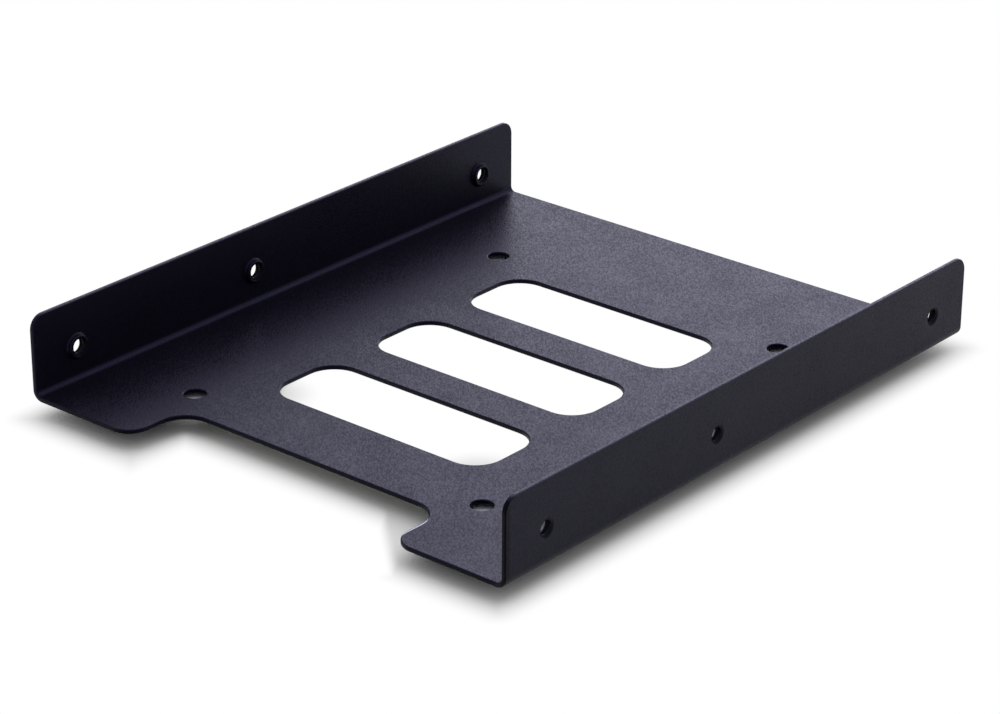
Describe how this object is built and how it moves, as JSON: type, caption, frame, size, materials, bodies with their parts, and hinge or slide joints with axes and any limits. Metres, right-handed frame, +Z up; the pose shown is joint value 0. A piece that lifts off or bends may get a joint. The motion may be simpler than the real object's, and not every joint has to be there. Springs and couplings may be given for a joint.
{
  "type": "drive bay adapter bracket",
  "caption": "Shallow folded sheet tray with a flange along each side, rounded slots and a notched front edge, for fitting a small drive into a larger bay.",
  "frame": {"origin": "middle of the underside of the base", "axes": "+X across the tray from one flange to the other, +Y along the flanges from the notched front edge to the back edge, +Z up out of the tray"},
  "size_m": [0.1008, 0.1202, 0.0148],
  "materials": {
    "coated_steel": "fine textured black powder coat, satin"
  },
  "bodies": {
    "root": {"bracket": "coated_steel"}
  },
  "joints": []
}
